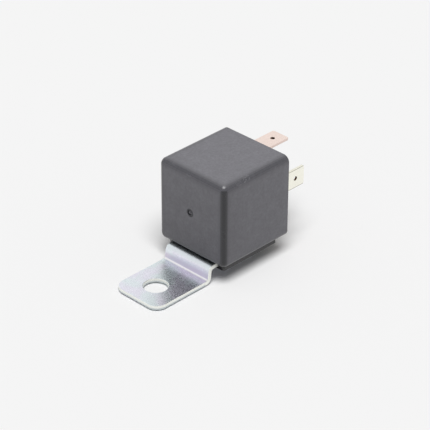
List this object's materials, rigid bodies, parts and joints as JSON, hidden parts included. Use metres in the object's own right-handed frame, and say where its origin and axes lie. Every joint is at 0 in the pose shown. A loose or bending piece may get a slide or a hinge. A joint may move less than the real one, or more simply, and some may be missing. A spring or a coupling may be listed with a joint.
{
  "type": "automotive relay",
  "caption": "Changeover relay: square moulded cover with blade terminals at its open end and a cranked sheet-metal mounting bracket held in rails under it.",
  "frame": {"origin": "centre of the bracket's ear hole, in the plane of the ear's underside", "axes": "+X along the relay towards its blades, +Z out of the ear hole, from the bracket to the far side of the cover"},
  "size_m": [0.0616, 0.027, 0.0333],
  "materials": {
    "cover_plastic": "black moulded plastic, satin",
    "base_plastic": "black moulded plastic, satin",
    "zinc_plated_steel": "bright blue-white zinc plating",
    "copper_blade": "tin-flashed copper strip",
    "brass_blade": "pale brass strip",
    "magnet_steel": "plated soft iron",
    "bobbin_plastic": "natural moulded plastic",
    "coil_wire": "enamelled copper wire",
    "coil_tape": "varnished insulating tape",
    "spring_bronze": "rolled spring bronze",
    "contact_silver": "silver alloy",
    "rivet_steel": "plated steel"
  },
  "bodies": {
    "housing": {"cover": "cover_plastic", "base": "base_plastic", "bracket": "zinc_plated_steel", "terminal_87": "copper_blade", "terminal_87a": "copper_blade", "terminal_30": "copper_blade", "terminal_85": "brass_blade", "terminal_86": "brass_blade", "yoke": "magnet_steel", "core": "magnet_steel", "bobbin": "bobbin_plastic", "winding": "coil_wire", "winding_tape": "coil_tape", "coil_lead_85": "coil_wire", "coil_lead_86": "coil_wire", "contact_87": "contact_silver", "contact_87a": "contact_silver", "yoke_rivets": "rivet_steel"},
    "armature": {"armature": "magnet_steel", "contact_spring": "spring_bronze", "moving_contact": "contact_silver", "armature_rivets": "rivet_steel"}
  },
  "joints": [
    {"name": "armature_pivot", "type": "hinge", "parent": "housing", "child": "armature", "pos_m": [0.02087, 0, 0.00838], "axis": [0, 1, 0], "range_deg": [0, 2.8], "stiffness_Nm_per_rad": 0.1, "springref_deg": -5.73, "deforming": ["contact_spring"]}
  ]
}
